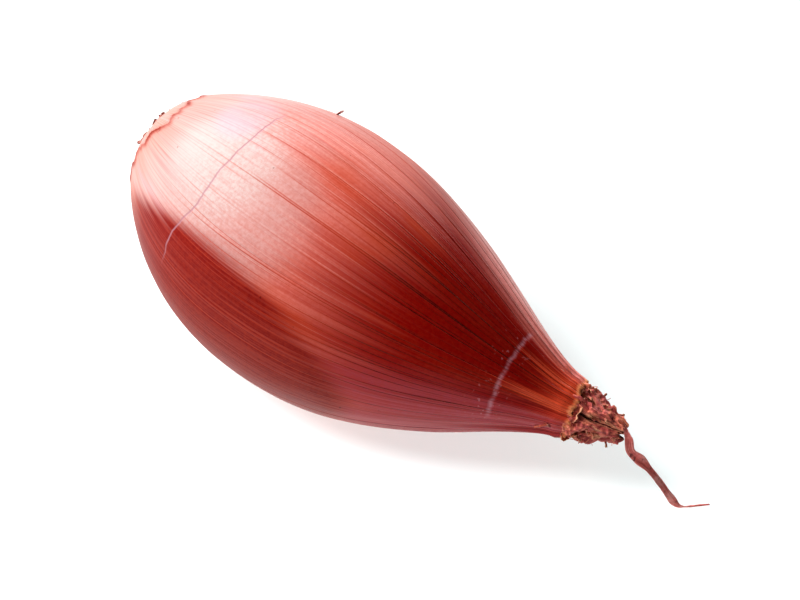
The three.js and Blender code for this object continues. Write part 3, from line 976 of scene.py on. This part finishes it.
def fray_tree():
    """A ring of bent, tapering fibres or stubs that lean away from the ring's axis."""
    kit, given = new_tree(
        "stub_ring", Count="Int", Ring_Radius="Float", Spread="Float", Lean="Float", Length="Float",
        Base_Radius="Float", Tip_Share="Float", Bend="Float", Wrinkle="Float", Seed="Int",
    )

    def random_vector(seed_shift, low, high):
        seed = kit.math("ADD", given["Seed"], seed_shift)
        inputs = {0: low, 1: high, 8: seed}
        return kit.add("FunctionNodeRandomValue", inputs, data_type="FLOAT_VECTOR").outputs[0]

    def vector(x, y, z):
        return kit.add("ShaderNodeCombineXYZ", {0: x, 1: y, 2: z}).outputs[0]

    ring = kit.add("GeometryNodeMeshCircle", {"Vertices": given["Count"], "Radius": given["Ring Radius"]})
    jitter = kit.stretched(random_vector(1, (-1, -1, -0.4), (1, 1, 0.4)), given["Spread"])
    points = kit.add("GeometryNodeSetPosition", {"Geometry": ring.outputs[0], "Offset": jitter}).outputs[0]

    curve = kit.add("GeometryNodeCurveQuadraticBezier", {
        "Resolution": 6,
        "Start": vector(0.0, 0.0, kit.times(given["Length"], -0.2)),
        "Middle": vector(0.0, 0.0, kit.times(given["Length"], 0.5)),
        "End": vector(given["Bend"], 0.0, given["Length"]),
    }).outputs[0]
    along = kit.add("GeometryNodeSplineParameter").outputs["Factor"]
    size = kit.add("ShaderNodeMapRange", {0: along, 3: 1.0, 4: given["Tip Share"]}).outputs[0]
    tapered = kit.add("GeometryNodeSetCurveRadius", {"Curve": curve, "Radius": size}).outputs[0]
    section = kit.add("GeometryNodeCurvePrimitiveCircle", {"Resolution": 7, "Radius": given["Base Radius"]})
    stub = kit.add("GeometryNodeCurveToMesh", {
        "Curve": tapered, "Profile Curve": section.outputs[0], "Fill Caps": True,
    }).outputs[0]

    outward = kit.vectors("NORMALIZE", kit.add("GeometryNodeInputPosition").outputs[0])
    heading = kit.vectors("ADD", kit.stretched(outward, given["Lean"]), (0, 0, 1))
    heading = kit.vectors("ADD", heading, random_vector(2, (-0.35, -0.35, -0.2), (0.35, 0.35, 0.2)))
    spin = kit.add("FunctionNodeEulerToRotation", {0: random_vector(3, (0, 0, 0), (0, 0, 6.28))}).outputs[0]
    inputs = {"Rotation": spin, "Vector": heading}
    facing = kit.add("FunctionNodeAlignRotationToVector", inputs, axis="Z").outputs[0]
    stubs = kit.add("GeometryNodeInstanceOnPoints", {
        "Points": points, "Instance": stub, "Rotation": facing,
        "Scale": random_vector(4, (0.7, 0.7, 0.5), (1.2, 1.2, 1.25)),
    }).outputs[0]
    real = kit.add("GeometryNodeRealizeInstances", {0: stubs}).outputs[0]
    rough = kit.add("ShaderNodeTexNoise", {"Scale": 1400.0, "Detail": 2.0}).outputs["Color"]
    wrinkle = kit.stretched(kit.vectors("SUBTRACT", rough, (0.5, 0.5, 0.5)), given["Wrinkle"])
    crumpled = kit.add("GeometryNodeSetPosition", {"Geometry": real, "Offset": wrinkle}).outputs[0]
    inputs = {"Geometry": crumpled, "Material": given["Material"]}
    done = kit.add("GeometryNodeSetMaterial", inputs).outputs[0]
    kit.add("NodeGroupOutput", {0: done})
    return kit.tree


def stub_ring(form, tree, name, station, towards, **inputs):
    """Stubs round the centreline at that station, pointing towards the neck (1) or the root (-1)."""
    piece = make_object(name, bpy.data.meshes.new(name))
    settle(add_tree(piece, tree, {key.replace("_", " ").title(): value for key, value in inputs.items()}))
    co = np.empty(len(piece.data.vertices) * 3)
    piece.data.vertices.foreach_get("co", co)
    x, y, z = co.reshape(-1, 3).T
    placed = form.place(np.stack((x, station + towards * z, -towards * y), -1))
    piece.data.vertices.foreach_set("co", placed.ravel())
    piece.data.update()
    return piece


LEAF_TURN = 2.4  # from one leaf end or spike to the next
# Each ring of fibres: its name, where it is from the rim, its radius as a share of the base's, its lean
FRAY_RINGS = (("rim", 1.6 * MM, 1.0, 0.5), ("middle", 4.6 * MM, 0.72, 0.7))
FRAY_SHAPE = {
    "length": 0.9 * MM, "base_radius": 0.035 * MM, "tip_share": 0.4, "spread": 0.4 * MM,
    "bend": 0.5 * MM, "wrinkle": 0.3 * MM,
}


def leaf_end_strips(neck, rim, rng):
    """Papery strips that wind round the core, from the rim towards the tip."""
    for index in range(neck.strips):
        out = index / neck.strips
        yield {
            "angle": index * LEAF_TURN + rng.uniform(-0.3, 0.3),
            "station": rim + (-1.4 + 5.4 * out) * MM,
            "length": (5.2 - 2.2 * out) * rng.uniform(0.75, 1.2) * MM,
            "width": (1.7 - 0.8 * out) * rng.uniform(0.7, 1.2) * MM,
            "lift": rng.uniform(0.15, 0.4) * MM,
            "seed": index + 1.0,
            "fold": rng.uniform(0.2, 0.5),
            "wind": 0.7,
        }


def collar_strips(neck, rim, rng):
    """Wide leaves that line the rim of the skin."""
    for index in range(neck.collars):
        yield {
            "angle": index * 2 * math.pi / neck.collars + rng.uniform(-0.3, 0.3),
            "station": rim + rng.uniform(-1.0, 0.4) * MM,
            "length": rng.uniform(2.0, 3.0) * MM,
            "width": rng.uniform(3.4, 5.2) * MM,
            "lift": rng.uniform(0.1, 0.5) * MM,
            "seed": index + 50.0,
            "taper": 0.3,
        }


def spike_strips(neck, rim, rng):
    """Short torn points that stand out from the core."""
    for index in range(neck.spikes):
        yield {
            "angle": index * LEAF_TURN + rng.uniform(-0.4, 0.4),
            "station": rim + (2.2 + 5.4 * index / neck.spikes) * MM,
            "length": rng.uniform(0.8, 1.6) * MM,
            "width": rng.uniform(0.35, 0.7) * MM,
            "lift": rng.uniform(0.6, 1.1) * MM,
            "seed": index + 20.0,
            "fold": 0.2,
        }


class SHALLOT_OT_neck(bpy.types.Operator):
    """Adds the shrivelled neck: its wrung core, torn leaf ends and frayed fibres"""

    bl_idname = "shallot.neck"
    bl_label = "Dried Neck"

    def execute(self, context):
        settings = context.scene.shallot
        neck = settings.neck
        form = BulbForm(settings.bulb)
        rim = form.bulb.length
        radius_at = neck_radius(form, neck)
        rng = np.random.default_rng(neck.seed)
        shades = (neck.leaf_colour, neck.ridge_colour, neck.shade_colour, neck.pale_colour)
        material = paper_material("dried_leaf", *shades)
        wrung = paper_material("wrung_leaf", *shades, fibre_count=90.0)
        dress(make_object("dried_neck_core", neck_mesh(form, neck)), wrung, "dried_leaf", "dried_neck")
        for name, strips in (
            ("neck_leaf_ends", leaf_end_strips),
            ("neck_collars", collar_strips),
            ("neck_spikes", spike_strips),
        ):
            dress(strip_group(name, form, radius_at, strips(neck, rim, rng)), material, "dried_leaf")

        tree = fray_tree()
        rings = [(name, rim + past, neck.base_radius * size, lean) for name, past, size, lean in FRAY_RINGS]
        rings.append(("tip", rim + neck.reach - 1.2 * MM, neck.tip_radius, 0.5))
        frays = [
            stub_ring(
                form, tree, f"frays_{name}", station, 1, count=neck.frays, ring_radius=radius, lean=lean,
                seed=neck.seed + index, material=material, **FRAY_SHAPE,
            )
            for index, (name, station, radius, lean) in enumerate(rings)
        ]
        dress(joined("neck_frays", frays), material, "dried_leaf")
        return {"FINISHED"}


def sliver_strips(skin, rim, rng):
    """Thin slivers of skin that lift off just before the neck's rim."""
    for index in range(skin.peels):
        yield {
            "angle": index * 2 * math.pi / skin.peels + rng.uniform(-0.2, 0.2),
            "station": rim - rng.uniform(1.6, 4.4) * MM,
            "length": rng.uniform(1.4, 3.0) * MM,
            "width": rng.uniform(0.3, 0.7) * MM,
            "lift": rng.uniform(0.06, 0.16) * MM,
            "seed": index + 70.0,
        }


SPUR = {
    "angle": -0.7, "station": 21.8 * MM, "length": 1.7 * MM, "width": 1.0 * MM, "lift": 1.1 * MM,
    "seed": 90.0, "fold": 0.1, "wind": 0.0, "sunk": 0.3 * MM, "taper": 0.95,
}


class SHALLOT_OT_peels(bpy.types.Operator):
    """Adds the slivers of outer skin that peel away near the neck, and a torn spur on the far shoulder"""

    bl_idname = "shallot.peels"
    bl_label = "Peeling Skin"

    def execute(self, context):
        settings = context.scene.shallot
        skin = settings.skin
        form = BulbForm(settings.bulb)
        rim = form.bulb.length
        paper = paper_material(
            "peeling_skin", skin.neck_colour, skin.torn_colour, skin.vein_colour, skin.inner_colour
        )
        pale = paper_material(
            "spur_skin", skin.root_colour, skin.light_colour, skin.belly_colour, skin.light_colour
        )

        def on_skin(angle, station):
            return form.lobed_radius(angle, station) - RIM_FALL * np.maximum(station - rim, 0.0)

        slivers = sliver_strips(skin, rim, np.random.default_rng(skin.vein_pairs))
        dress(strip_group("peeling_skin", form, on_skin, slivers), paper, "dry_skin")
        dress(strip_group("torn_spur", form, on_skin, [SPUR]), pale, "dry_skin")
        return {"FINISHED"}


# ---------------------------------------------------------------- leaf strand

STRAND_DROPS = np.array((
    (-1.5, 0.0, 1.3), (0.2, 0.05, 1.1), (1.0, 0.1, -0.5), (1.5, 0.1, -3.2), (2.7, 0.8, -4.8),
    (4.1, 1.3, -6.4), (5.9, 2.1, -9.2), (7.2, 2.9, -11.9),
)) * MM
STRAND_LANDING = np.array((8.3, 3.8)) * MM
STRAND_END = np.array((11.6, 7.1)) * MM
STRAND_ACROSS = np.array((0.79, 0.62, 0.0))
STRAND_SAMPLES, STRAND_COLUMNS = 22, 16


def smooth_path(points, samples):
    """Points evenly spaced by parameter on a centripetal curve through the given ones."""
    ends = (2 * points[0] - points[1], 2 * points[-1] - points[-2])
    padded = np.concatenate((ends[:1], points, ends[1:]))
    path = []
    for first in range(len(points) - 1):
        a, b, c, d = padded[first:first + 4]
        knots = np.cumsum([0.0] + [np.linalg.norm(q - p) ** 0.5 for p, q in ((a, b), (b, c), (c, d))])
        for t in np.linspace(knots[1], knots[2], samples, endpoint=first == len(points) - 2):
            ab, bc, cd = (
                p + (q - p) * (t - knots[i]) / (knots[i + 1] - knots[i])
                for i, (p, q) in enumerate(((a, b), (b, c), (c, d)))
            )
            abc = ab + (bc - ab) * (t - knots[0]) / (knots[2] - knots[0])
            bcd = bc + (cd - bc) * (t - knots[1]) / (knots[3] - knots[1])
            path.append(abc + (bcd - abc) * (t - knots[1]) / (knots[2] - knots[1]))
    return np.array(path)


def strand_mesh(form, strand):
    """A folded, twisting ribbon from the neck's tip down to the surface, with a swelling on the way."""
    tip = form.place(np.array((0.0, form.bulb.centreline, 0.0)))
    surface = strand.thickness / 2
    ground = [
        (*(tip[:2] + STRAND_LANDING), surface + 0.4 * MM),
        (*(tip[:2] + STRAND_END), surface + 0.1 * MM),
    ]
    path = smooth_path(np.concatenate((tip + STRAND_DROPS, ground)), STRAND_SAMPLES)
    tangents = np.gradient(path, axis=0)
    tangents /= np.linalg.norm(tangents, axis=1, keepdims=True)
    across = STRAND_ACROSS - tangents * (tangents @ STRAND_ACROSS)[:, None]
    across /= np.linalg.norm(across, axis=1, keepdims=True)
    through = np.cross(tangents, across)
    along = np.linspace(0, 1, len(path))
    twist = strand.twist * (np.cos(1.6 * math.pi * along) + 0.2 * np.sin(17 * along))
    side = across * np.cos(twist)[:, None] + through * np.sin(twist)[:, None]
    face = np.cross(tangents, side)
    swell = 0.62 + 0.38 * hill(along, 0.42, 0.16) + 0.2 * hill(along, 0.8, 0.07)
    width = strand.width / 2 * swell * (1 - (1 - strand.tip_share) * smooth_step(0.8, 1.0, along))
    width *= 1 + 0.1 * np.sin(31 * along)
    loop = angles_round(STRAND_COLUMNS)
    flat, thick = np.cos(loop), np.sin(loop)
    fold = 0.55 * np.abs(flat) - 0.25
    sideways = width[:, None] * flat
    outward = width[:, None] * fold * (1 - along)[:, None] + surface * thick
    grid = path[:, None] + side[:, None] * sideways[..., None] + face[:, None] * outward[..., None]
    rough = fractal(*np.moveaxis(grid / (0.9 * MM), -1, 0))
    grid += face[:, None] * (0.1 * MM * rough)[..., None]
    grid[..., 2] = np.maximum(grid[..., 2], 0.02 * MM)
    edge = smooth_step(0.8, 1.0, np.abs(flat))[None, :] * 0.5 * np.ones((len(path), 1))
    # hollow: painted shade where the ribbon's rough surface dips in
    return grid_mesh("leaf_strand", grid, values={"edge": edge, "hollow": np.clip(-rough, 0, 1)})


class SHALLOT_OT_strand(bpy.types.Operator):
    """Adds the dry leaf strand that falls from the neck to the surface"""

    bl_idname = "shallot.strand"
    bl_label = "Leaf Strand"

    def execute(self, context):
        settings = context.scene.shallot
        strand = settings.strand
        material = paper_material(
            "dried_strand", strand.strand_colour, strand.light_colour, settings.neck.shade_colour,
            strand.light_colour,
        )
        piece = make_object("leaf_strand", strand_mesh(BulbForm(settings.bulb), strand))
        dress(piece, material, "dried_strand", "dry_leaf_strand")
        return {"FINISHED"}


# ---------------------------------------------------------------- root end

PLATE_COLUMNS, PLATE_ROWS = 120, 30
FLAPS = 16
FLAP_INSET = 0.35 * MM
STUB_SINK = 0.2 * MM
# Each ring of roots: its name, where it is on the plate from the middle to the edge, its lean, its length
ROOT_RINGS = (("outer", 0.78, 0.2, 0.9), ("middle", 0.52, 0.4, 1.0), ("inner", 0.22, 0.3, 1.0))
STUB_SHAPE = {"spread": 0.8 * MM, "tip_share": 0.7, "bend": 0.5 * MM, "wrinkle": 0.35 * MM}
ROOTLET_SHAPE = {
    "spread": 1.1 * MM, "base_radius": 0.09 * MM, "tip_share": 0.5, "bend": 1.6 * MM, "wrinkle": 1.0 * MM,
}


def plate_mesh(form, root):
    """The corky plate: a low crowned disc with a rough face and a closed back."""
    angle = angles_round(PLATE_COLUMNS)[None, :]
    out = np.concatenate((np.linspace(0.02, 1.0, PLATE_ROWS), (1.0, 0.7)))[:, None]
    back = np.concatenate((np.zeros(PLATE_ROWS), (1.0, 1.0)))[:, None]
    rough = fractal(out * np.cos(angle) * 5.0, out * np.sin(angle) * 5.0, 2.0, 5)
    crown = root.plate_crown * (1 - out**2) + 0.35 * MM * rough * (1 - back)
    station = root.plate_station - crown * (1 - back) + back * 1.4 * MM
    radius = root.plate_radius * out * (1 + 0.02 * rough)
    return grid_mesh("root_plate_cork", form.round(-angle, station, radius))


def flap_strips(rng):
    """Ragged ends of skin round the edge of the root plate."""
    for index in range(FLAPS):
        yield {
            "angle": index * 2 * math.pi / FLAPS + rng.uniform(-0.12, 0.12),
            "station": 0.9 * MM,
            "length": rng.uniform(0.8, 1.3) * MM,
            "width": rng.uniform(2.6, 4.2) * MM,
            "lift": rng.uniform(-0.6, 0.0) * MM,
            "seed": index + 40.0,
            "towards": -1,
        }


class SHALLOT_OT_root(bpy.types.Operator):
    """Adds the corky root plate, its dried root stubs and the ragged skin round it"""

    bl_idname = "shallot.root"
    bl_label = "Root End"

    def execute(self, context):
        settings = context.scene.shallot
        root = settings.root
        skin = settings.skin
        form = BulbForm(settings.bulb)
        cork = cork_material("cork", root.cork_colour, root.stub_colour, root.crumb_colour, 0.56)
        plate = make_object("root_plate_cork", plate_mesh(form, root))
        dress(plate, cork, "corky_root", "root_plate")

        roots = cork_material("dried_roots", root.dark_colour, root.stub_colour, root.crumb_colour, 0.6)
        tree = fray_tree()
        numbers = (root.outer_stubs, root.middle_stubs, root.inner_stubs)
        station = root.plate_station - STUB_SINK
        stubs = [
            stub_ring(
                form, tree, f"stubs_{name}", station, -1, count=number, seed=number, lean=lean,
                ring_radius=root.plate_radius * place, length=root.stub_length * size,
                base_radius=root.stub_radius, material=roots, **STUB_SHAPE,
            )
            for number, (name, place, lean, size) in zip(numbers, ROOT_RINGS)
        ]
        stubs += [
            stub_ring(
                form, tree, f"rootlets_{name}", station, -1, count=root.rootlets, seed=number + 50,
                lean=0.4 * lean, ring_radius=root.plate_radius * place, length=1.5 * root.stub_length,
                material=roots, **ROOTLET_SHAPE,
            )
            for number, (name, place, lean, _) in zip(numbers[1:], ROOT_RINGS[1:])
        ]
        dress(joined("root_stubs", stubs), roots, "corky_root")

        paper = paper_material(
            "torn_skin", skin.inner_colour, skin.root_colour, skin.vein_colour, skin.torn_colour
        )

        def collar_radius(angle, station):
            return np.full_like(station, form.bulb.root_radius - FLAP_INSET)

        flaps = flap_strips(np.random.default_rng(root.outer_stubs))
        dress(strip_group("root_skin_flaps", form, collar_radius, flaps), paper, "dry_skin")
        return {"FINISHED"}


# ---------------------------------------------------------------- stage

def aim(thing, target):
    thing.rotation_euler = (Vector(target) - thing.location).to_track_quat("-Z", "Y").to_euler()


def area_light(name, direction, reach, width, height, power, target):
    light = bpy.data.lights.new(name, "AREA")
    light.shape = "ELLIPSE"
    light.size = width
    light.size_y = height
    light.energy = power
    lamp = bpy.data.objects.new(name, light)
    lamp.location = Vector(target) + Vector(direction).normalized() * reach
    bpy.context.scene.collection.objects.link(lamp)
    aim(lamp, target)
    return lamp


FLOOR_REACH = 1.6
FLOOR_SHADE = (0.785, 0.858, 0.858)
# Each light: its name, direction from the shallot, distance, width, height and the setting for its power
LIGHTS = (
    ("key", (-0.68, -0.22, 0.7), 1.0, 1.9, 1.0, "key_power"),
    ("rim", (-0.3, 0.9, 0.35), 1.0, 0.9, 0.5, "rim_power"),
    ("floor_light", (0.1, 0.0, 1.0), 1.2, 1.0, 1.0, "floor_power"),
    ("shadow_light", (-0.4, -0.42, 0.82), 1.2, 0.6, 0.6, "shadow_power"),
)


def pale_floor(height, tint):
    corners = [(x * FLOOR_REACH, y * FLOOR_REACH, height) for x, y in ((-1, -1), (1, -1), (1, 1), (-1, 1))]
    mesh = bpy.data.meshes.new("floor")
    mesh.from_pydata(corners, [], [(0, 1, 2, 3)])
    material, kit, shader = new_material("pale_floor", Roughness=0.6)
    position = kit.add("ShaderNodeTexCoord").outputs["Object"]
    faint = kit.between(kit.noise(position, 9.0, 2.0), 0.3, 0.7, 0.985, 1.0)
    kit.tree.links.new(kit.mix(faint, FLOOR_SHADE, tint), shader.inputs["Base Color"])
    mesh.materials.append(material)
    return make_object("floor", mesh)


def light_stage(floor, stage, centre):
    """Adds the lights. Two light only the shallot, and two only the floor, one of them with no shadow."""
    groups = {name: bpy.data.collections.new(name) for name in ("only_floor", "not_floor")}
    for group in groups.values():
        group.objects.link(floor)
    groups["not_floor"].collection_objects[0].light_linking.link_state = "EXCLUDE"
    for name, direction, away, width, height, power in LIGHTS:
        lamp = area_light(name, direction, away, width, height, getattr(stage, power), centre)
        receivers = "only_floor" if name in ("floor_light", "shadow_light") else "not_floor"
        lamp.light_linking.receiver_collection = groups[receivers]
        if name == "floor_light":
            lamp.light_linking.blocker_collection = groups["only_floor"]


class SHALLOT_OT_stage(bpy.types.Operator):
    """Adds the pale floor, the soft light and the camera"""

    bl_idname = "shallot.stage"
    bl_label = "Stage"

    def execute(self, context):
        stage = context.scene.shallot.stage
        low, high = (Vector(corner) for corner in CAD_BOX)
        centre = (low + high) / 2
        floor = pale_floor(low.z, stage.floor_colour)
        floor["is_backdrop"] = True
        light_stage(floor, stage, centre)

        world = bpy.data.worlds.new("studio")
        world.use_nodes = True
        background = world.node_tree.nodes["Background"]
        background.inputs["Color"].default_value = (1.0, 1.0, 1.0, 1.0)
        background.inputs["Strength"].default_value = stage.ambient
        context.scene.world = world
        context.scene.view_settings.view_transform = "Standard"
        context.scene.view_settings.look = "High Contrast"

        lens = bpy.data.cameras.new("camera")
        lens.lens = stage.lens
        camera = bpy.data.objects.new("camera", lens)
        across = math.cos(stage.elevation)
        back = Vector((
            math.sin(stage.azimuth) * across, -math.cos(stage.azimuth) * across, math.sin(stage.elevation),
        ))
        camera.location = centre + back * stage.distance
        context.scene.collection.objects.link(camera)
        aim(camera, centre)
        context.scene.camera = camera
        return {"FINISHED"}


# ---------------------------------------------------------------- add-on

class SHALLOT_PT_panel(bpy.types.Panel):
    """Lists the shallot's settings and the steps that build it"""

    bl_idname = "SHALLOT_PT_panel"
    bl_label = "Banana Shallot"
    bl_space_type = "VIEW_3D"
    bl_region_type = "UI"
    bl_category = "Shallot"

    def draw(self, context):
        settings = context.scene.shallot
        for name in ("bulb", "skin", "root", "neck", "strand", "stage"):
            group = getattr(settings, name)
            box = self.layout.box()
            box.label(text=name.title())
            for key in group.__annotations__:
                box.prop(group, key)
        for operator in OPERATORS:
            self.layout.operator(operator.bl_idname)


OPERATORS = (
    SHALLOT_OT_stage, SHALLOT_OT_skin, SHALLOT_OT_peels,
    SHALLOT_OT_neck, SHALLOT_OT_strand, SHALLOT_OT_root,
)
CLASSES = (
    BulbSettings, SkinSettings, RootSettings, NeckSettings, StrandSettings, StageSettings, ShallotSettings,
    *OPERATORS, SHALLOT_PT_panel,
)


def register():
    for each in CLASSES:
        bpy.utils.register_class(each)
    bpy.types.Scene.shallot = PointerProperty(type=ShallotSettings)


def unregister():
    del bpy.types.Scene.shallot
    for each in reversed(CLASSES):
        bpy.utils.unregister_class(each)


def main():
    register()
    bpy.ops.shallot.stage()
    bpy.ops.shallot.skin()
    bpy.ops.shallot.peels()
    bpy.ops.shallot.neck()
    bpy.ops.shallot.strand()
    bpy.ops.shallot.root()
    boxes = {"cad": CAD_BOX, "visual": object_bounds()}
    sizes = {name: [list(corner) for corner in corners] for name, corners in boxes.items()}


if __name__ == "__main__":
    main()
